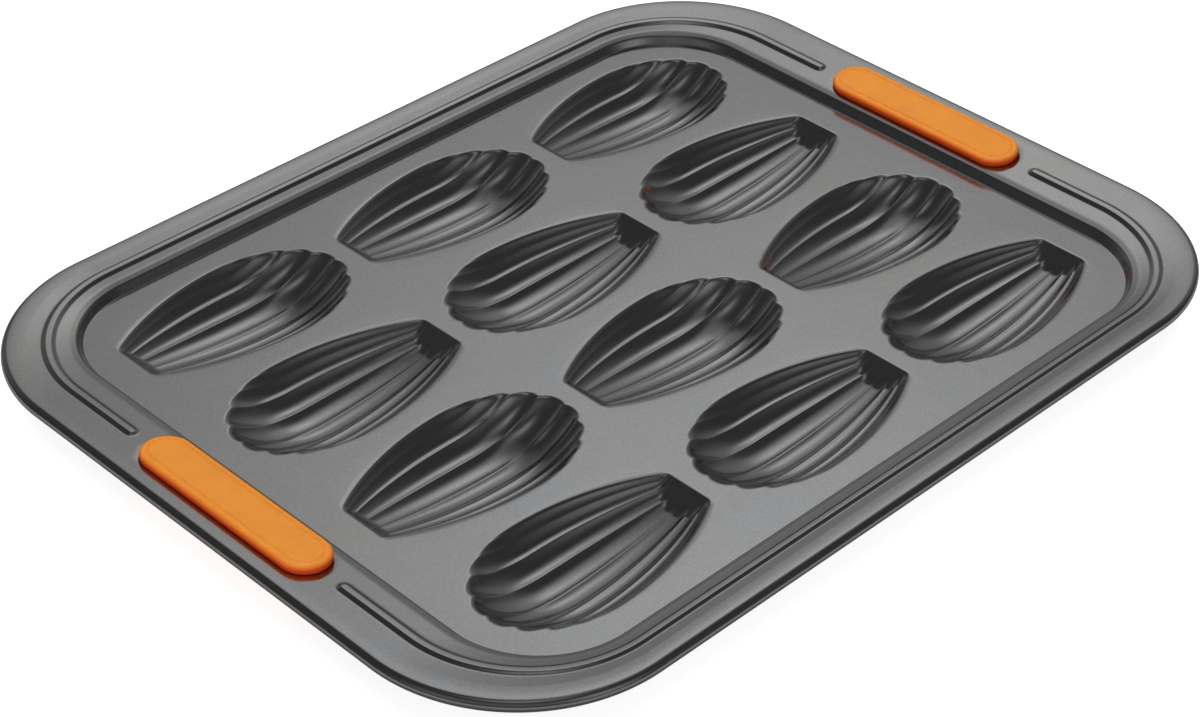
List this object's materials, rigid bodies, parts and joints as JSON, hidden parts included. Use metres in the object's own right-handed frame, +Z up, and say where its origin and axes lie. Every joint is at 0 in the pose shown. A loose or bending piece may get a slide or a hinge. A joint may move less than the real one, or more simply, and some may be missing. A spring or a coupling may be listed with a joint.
{
  "type": "madeleine pan",
  "caption": "Rectangular baking tray pressed with fluted shell-shaped cups, a stepped rim with rolled edge, and silicone grips on both short ends, for baking madeleines.",
  "frame": {"origin": "centre of the footprint, on the surface that the cups stand on", "axes": "+X along the long side from grip_left to grip_right, +Y along the short side, +Z up out of the cups"},
  "size_m": [0.399, 0.315, 0.0228],
  "materials": {
    "coated_steel": "dark grey non-stick coating, semi-gloss, finely speckled",
    "wire_steel": "drawn steel wire",
    "silicone": "matt orange silicone"
  },
  "bodies": {
    "root": {"pan_sheet": "coated_steel", "rim_wire": "wire_steel", "grip_left": "silicone", "grip_right": "silicone"}
  },
  "joints": []
}
